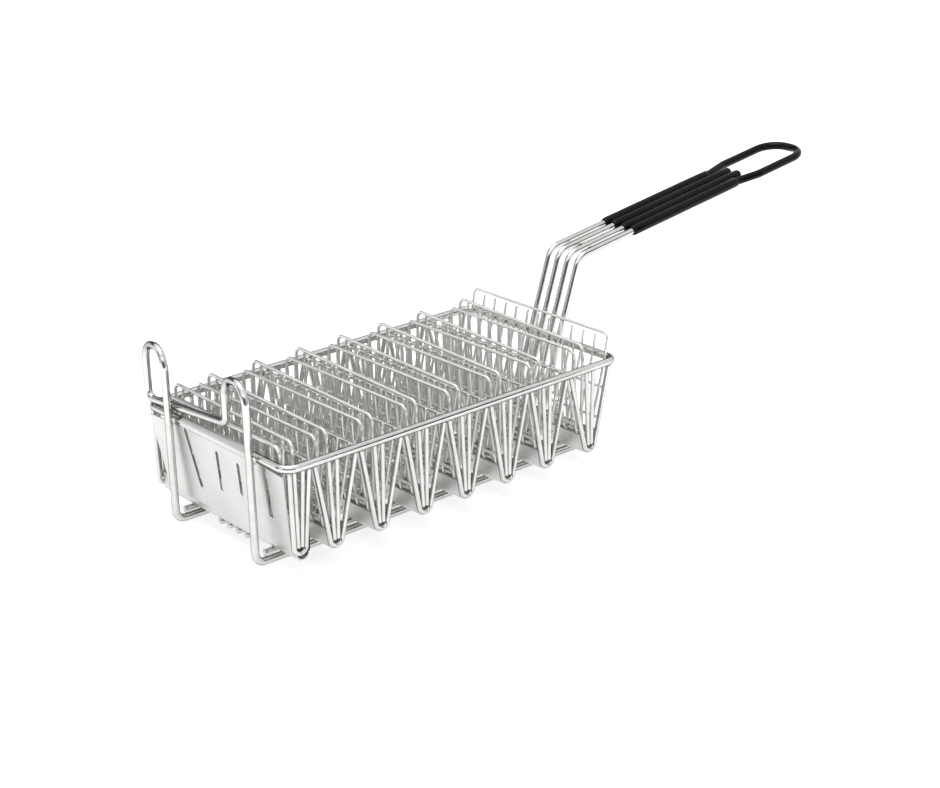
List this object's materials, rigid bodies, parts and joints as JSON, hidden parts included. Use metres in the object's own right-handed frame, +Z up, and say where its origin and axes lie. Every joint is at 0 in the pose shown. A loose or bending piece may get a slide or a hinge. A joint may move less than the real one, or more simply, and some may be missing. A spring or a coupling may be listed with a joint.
{
  "type": "fryer basket",
  "caption": "Wire fry basket with a row of V shaped pockets that hold folded shells upright, hanging hooks, foot rails and a long dipped handle.",
  "frame": {"origin": "middle of the rim's outline, on the surface that the foot rails stand on", "axes": "+X from the hooks towards the handle, +Y across the basket, +Z up"},
  "size_m": [0.6555, 0.1864, 0.1939],
  "materials": {
    "plated_wire": "bright",
    "plated_sheet": "satin",
    "grip_coating": "gloss"
  },
  "bodies": {
    "root": {"rim_frame": "plated_wire", "hook_foot_wire": "plated_wire", "near_upper_rail": "plated_wire", "far_upper_rail": "plated_wire", "front_panel": "plated_sheet", "trough_1": "plated_sheet", "wall_1_back": "plated_wire", "inner_form_1": "plated_wire", "trough_2": "plated_sheet", "wall_2_front": "plated_wire", "wall_2_back": "plated_wire", "inner_form_2": "plated_wire", "trough_3": "plated_sheet", "wall_3_front": "plated_wire", "wall_3_back": "plated_wire", "inner_form_3": "plated_wire", "trough_4": "plated_sheet", "wall_4_front": "plated_wire", "wall_4_back": "plated_wire", "inner_form_4": "plated_wire", "trough_5": "plated_sheet", "wall_5_front": "plated_wire", "wall_5_back": "plated_wire", "inner_form_5": "plated_wire", "trough_6": "plated_sheet", "wall_6_front": "plated_wire", "wall_6_back": "plated_wire", "inner_form_6": "plated_wire", "trough_7": "plated_sheet", "wall_7_front": "plated_wire", "wall_7_back": "plated_wire", "inner_form_7": "plated_wire", "trough_8": "plated_sheet", "wall_8_front": "plated_wire", "wall_8_back": "plated_wire", "inner_form_8": "plated_wire", "ridge_wire_1": "plated_wire", "ridge_wire_2": "plated_wire", "ridge_wire_3": "plated_wire", "ridge_wire_4": "plated_wire", "ridge_wire_5": "plated_wire", "ridge_wire_6": "plated_wire", "ridge_wire_7": "plated_wire", "near_side_wires": "plated_wire", "far_side_wires": "plated_wire", "handle_outer_wire": "plated_wire", "handle_inner_wires": "plated_wire", "grip_outer_coating": "grip_coating", "grip_inner_coating": "grip_coating", "handle_cross_pin": "plated_wire"}
  },
  "joints": []
}
